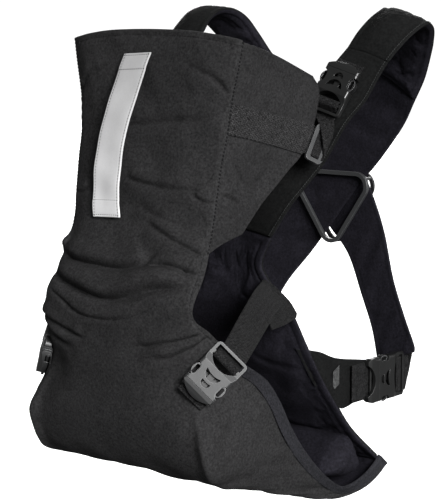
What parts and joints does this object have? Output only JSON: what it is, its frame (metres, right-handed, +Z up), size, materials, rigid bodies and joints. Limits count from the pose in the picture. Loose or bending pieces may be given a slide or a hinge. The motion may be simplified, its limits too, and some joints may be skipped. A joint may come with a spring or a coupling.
{
  "type": "soft baby carrier",
  "caption": "Soft baby carrier with a padded inner harness, an outer seat and head panel, crossed back straps, a sliding back ring and side-release buckles.",
  "frame": {"origin": "the middle of the inner panel's back face, at the wearer's breastbone", "axes": "+Z up, +Y into the wearer's chest, +X towards the wearer's left"},
  "size_m": [0.325, 0.382, 0.5065],
  "materials": {
    "outer_cloth": "matt woven fabric, near black",
    "lining": "smooth woven lining, black with a purplish cast",
    "strap_cloth": "matt woven fabric over padding",
    "binding": "ribbed binding tape, bluish grey",
    "webbing": "herringbone webbing, dark grey",
    "reflective": "silver reflective cloth",
    "label": "satin care label, blank",
    "buckle_grey": "satin moulded plastic, mid grey",
    "buckle_black": "satin moulded plastic, dark grey",
    "arm": "satin moulded plastic",
    "ring": "satin moulded plastic, mid grey",
    "ring_cover": "satin moulded plastic, dark grey",
    "loop": "satin moulded plastic, grey",
    "foam": "closed-cell foam, hidden"
  },
  "bodies": {
    "carrier": {"front_panel": "outer_cloth", "side_panel_left": "outer_cloth", "side_panel_right": "outer_cloth", "head_pad": "lining", "head_stiffener": "foam", "seat_panel": "outer_cloth", "leg_binding_left": "binding", "leg_binding_right": "binding", "inner_panel": "lining", "inner_foam": "foam", "base_roll": "lining", "waist_wing_left": "lining", "waist_wing_right": "lining", "hip_webbing": "webbing", "hip_tabs": "webbing", "chest_strap_left": "strap_cloth", "chest_strap_right": "strap_cloth", "shoulder_strap_left": "strap_cloth", "shoulder_strap_right": "strap_cloth", "shoulder_foam": "foam", "back_strap_left": "strap_cloth", "back_strap_right": "strap_cloth", "head_band_left": "webbing", "head_band_right": "webbing", "head_tabs": "webbing", "seat_webbing_left": "webbing", "seat_webbing_right": "webbing", "seat_tabs": "webbing", "reflective_strap": "reflective", "care_label": "label", "seat_male_left": "buckle_grey", "seat_male_right": "buckle_grey", "head_male_left": "buckle_black", "head_male_right": "buckle_black", "hip_male_left": "buckle_black", "hip_male_right": "buckle_black"},
    "seat_release_left": {"seat_female_left": "buckle_grey"},
    "seat_front_arm_left": {"seat_front_arm_left": "arm"},
    "seat_rear_arm_left": {"seat_rear_arm_left": "arm"},
    "seat_release_right": {"seat_female_right": "buckle_grey"},
    "seat_front_arm_right": {"seat_front_arm_right": "arm"},
    "seat_rear_arm_right": {"seat_rear_arm_right": "arm"},
    "head_release_left": {"head_female_left": "buckle_black", "head_webbing_left": "webbing"},
    "head_outer_arm_left": {"head_outer_arm_left": "arm"},
    "head_inner_arm_left": {"head_inner_arm_left": "arm"},
    "head_release_right": {"head_female_right": "buckle_black", "head_webbing_right": "webbing"},
    "head_outer_arm_right": {"head_outer_arm_right": "arm"},
    "head_inner_arm_right": {"head_inner_arm_right": "arm"},
    "hip_release_left": {"hip_female_left": "buckle_black"},
    "hip_upper_arm_left": {"hip_upper_arm_left": "arm"},
    "hip_lower_arm_left": {"hip_lower_arm_left": "arm"},
    "hip_release_right": {"hip_female_right": "buckle_black"},
    "hip_upper_arm_right": {"hip_upper_arm_right": "arm"},
    "hip_lower_arm_right": {"hip_lower_arm_right": "arm"},
    "loop_left": {"head_loop_left": "loop"},
    "loop_right": {"head_loop_right": "loop"},
    "ring": {"back_ring": "ring", "back_ring_cover": "ring_cover"}
  },
  "joints": [
    {"name": "seat_slide_left", "type": "slide", "parent": "carrier", "child": "seat_release_left", "axis": [0.4, 0.62, 0.675], "range_m": [0, 0.028], "deforming": ["seat_front_arm_left", "seat_rear_arm_left", "seat_webbing_left"]},
    {"name": "seat_front_arm_left_bend", "type": "hinge", "parent": "carrier", "child": "seat_front_arm_left", "pos_m": [0.09866, -0.18686, -0.07212], "axis": [-0.6658, 0.7027, -0.2509], "range_deg": [0, 11], "stiffness_Nm_per_rad": 0.05},
    {"name": "seat_rear_arm_left_bend", "type": "hinge", "parent": "carrier", "child": "seat_rear_arm_left", "pos_m": [0.11378, -0.17849, -0.08877], "axis": [0.6658, -0.7027, 0.2509], "range_deg": [0, 11], "stiffness_Nm_per_rad": 0.05},
    {"name": "seat_slide_right", "type": "slide", "parent": "carrier", "child": "seat_release_right", "axis": [-0.4, 0.62, 0.675], "range_m": [0, 0.028], "deforming": ["seat_front_arm_right", "seat_rear_arm_right", "seat_webbing_right"]},
    {"name": "seat_front_arm_right_bend", "type": "hinge", "parent": "carrier", "child": "seat_front_arm_right", "pos_m": [-0.09866, -0.18686, -0.07212], "axis": [-0.6658, -0.7027, 0.2509], "range_deg": [0, 11], "stiffness_Nm_per_rad": 0.05},
    {"name": "seat_rear_arm_right_bend", "type": "hinge", "parent": "carrier", "child": "seat_rear_arm_right", "pos_m": [-0.11378, -0.17849, -0.08877], "axis": [0.6658, 0.7027, -0.2509], "range_deg": [0, 11], "stiffness_Nm_per_rad": 0.05},
    {"name": "head_slide_left", "type": "slide", "parent": "carrier", "child": "head_release_left", "axis": [-0.2044, -0.4874, -0.8489], "range_m": [0, 0.028], "deforming": ["head_outer_arm_left", "head_inner_arm_left", "side_panel_left", "head_band_left"]},
    {"name": "head_outer_arm_left_bend", "type": "hinge", "parent": "carrier", "child": "head_outer_arm_left", "pos_m": [0.12688, 0.02937, 0.20646], "axis": [-0.2511, 0.8643, -0.4357], "range_deg": [0, 11], "stiffness_Nm_per_rad": 0.05},
    {"name": "head_inner_arm_left_bend", "type": "hinge", "parent": "carrier", "child": "head_inner_arm_left", "pos_m": [0.10418, 0.02639, 0.21364], "axis": [0.2511, -0.8643, 0.4357], "range_deg": [0, 11], "stiffness_Nm_per_rad": 0.05},
    {"name": "head_slide_right", "type": "slide", "parent": "carrier", "child": "head_release_right", "axis": [0.2044, -0.4874, -0.8489], "range_m": [0, 0.028], "deforming": ["head_outer_arm_right", "head_inner_arm_right", "side_panel_right", "head_band_right"]},
    {"name": "head_outer_arm_right_bend", "type": "hinge", "parent": "carrier", "child": "head_outer_arm_right", "pos_m": [-0.12688, 0.02937, 0.20646], "axis": [-0.2511, -0.8643, 0.4357], "range_deg": [0, 11], "stiffness_Nm_per_rad": 0.05},
    {"name": "head_inner_arm_right_bend", "type": "hinge", "parent": "carrier", "child": "head_inner_arm_right", "pos_m": [-0.10418, 0.02639, 0.21364], "axis": [0.2511, 0.8643, -0.4357], "range_deg": [0, 11], "stiffness_Nm_per_rad": 0.05},
    {"name": "hip_slide_left", "type": "slide", "parent": "carrier", "child": "hip_release_left", "axis": [0, 1, 0], "range_m": [0, 0.028], "deforming": ["hip_upper_arm_left", "hip_lower_arm_left", "hip_tabs"]},
    {"name": "hip_upper_arm_left_bend", "type": "hinge", "parent": "carrier", "child": "hip_upper_arm_left", "pos_m": [0.115, 0.0963, -0.101], "axis": [-1, 0, 0], "range_deg": [0, 11], "stiffness_Nm_per_rad": 0.05},
    {"name": "hip_lower_arm_left_bend", "type": "hinge", "parent": "carrier", "child": "hip_lower_arm_left", "pos_m": [0.115, 0.0963, -0.135], "axis": [1, 0, 0], "range_deg": [0, 11], "stiffness_Nm_per_rad": 0.05},
    {"name": "hip_slide_right", "type": "slide", "parent": "carrier", "child": "hip_release_right", "axis": [0, 1, 0], "range_m": [0, 0.028], "deforming": ["hip_upper_arm_right", "hip_lower_arm_right", "hip_tabs"]},
    {"name": "hip_upper_arm_right_bend", "type": "hinge", "parent": "carrier", "child": "hip_upper_arm_right", "pos_m": [-0.115, 0.0963, -0.101], "axis": [-1, 0, 0], "range_deg": [0, 11], "stiffness_Nm_per_rad": 0.05},
    {"name": "hip_lower_arm_right_bend", "type": "hinge", "parent": "carrier", "child": "hip_lower_arm_right", "pos_m": [-0.115, 0.0963, -0.135], "axis": [1, 0, 0], "range_deg": [0, 11], "stiffness_Nm_per_rad": 0.05},
    {"name": "loop_swing_left", "type": "hinge", "parent": "head_release_left", "child": "loop_left", "pos_m": [0.1089, -0.01317, 0.14371], "axis": [0, -0.5351, -0.8448], "range_deg": [-12, 12], "deforming": ["head_webbing_left"]},
    {"name": "loop_swing_right", "type": "hinge", "parent": "head_release_right", "child": "loop_right", "pos_m": [-0.1089, -0.01317, 0.14371], "axis": [0, 0.5351, 0.8448], "range_deg": [-12, 12], "deforming": ["head_webbing_right"]},
    {"name": "ring_slide", "type": "slide", "parent": "carrier", "child": "ring", "axis": [0, 0, -1], "range_m": [0, 0.02], "deforming": ["back_strap_left", "back_strap_right"]}
  ],
  "couplings": [
    {"joint": "seat_rear_arm_left_bend", "follows": "seat_front_arm_left_bend", "ratio": 1},
    {"joint": "seat_rear_arm_right_bend", "follows": "seat_front_arm_right_bend", "ratio": 1},
    {"joint": "head_inner_arm_left_bend", "follows": "head_outer_arm_left_bend", "ratio": 1},
    {"joint": "head_inner_arm_right_bend", "follows": "head_outer_arm_right_bend", "ratio": 1},
    {"joint": "hip_lower_arm_left_bend", "follows": "hip_upper_arm_left_bend", "ratio": 1},
    {"joint": "hip_lower_arm_right_bend", "follows": "hip_upper_arm_right_bend", "ratio": 1}
  ]
}
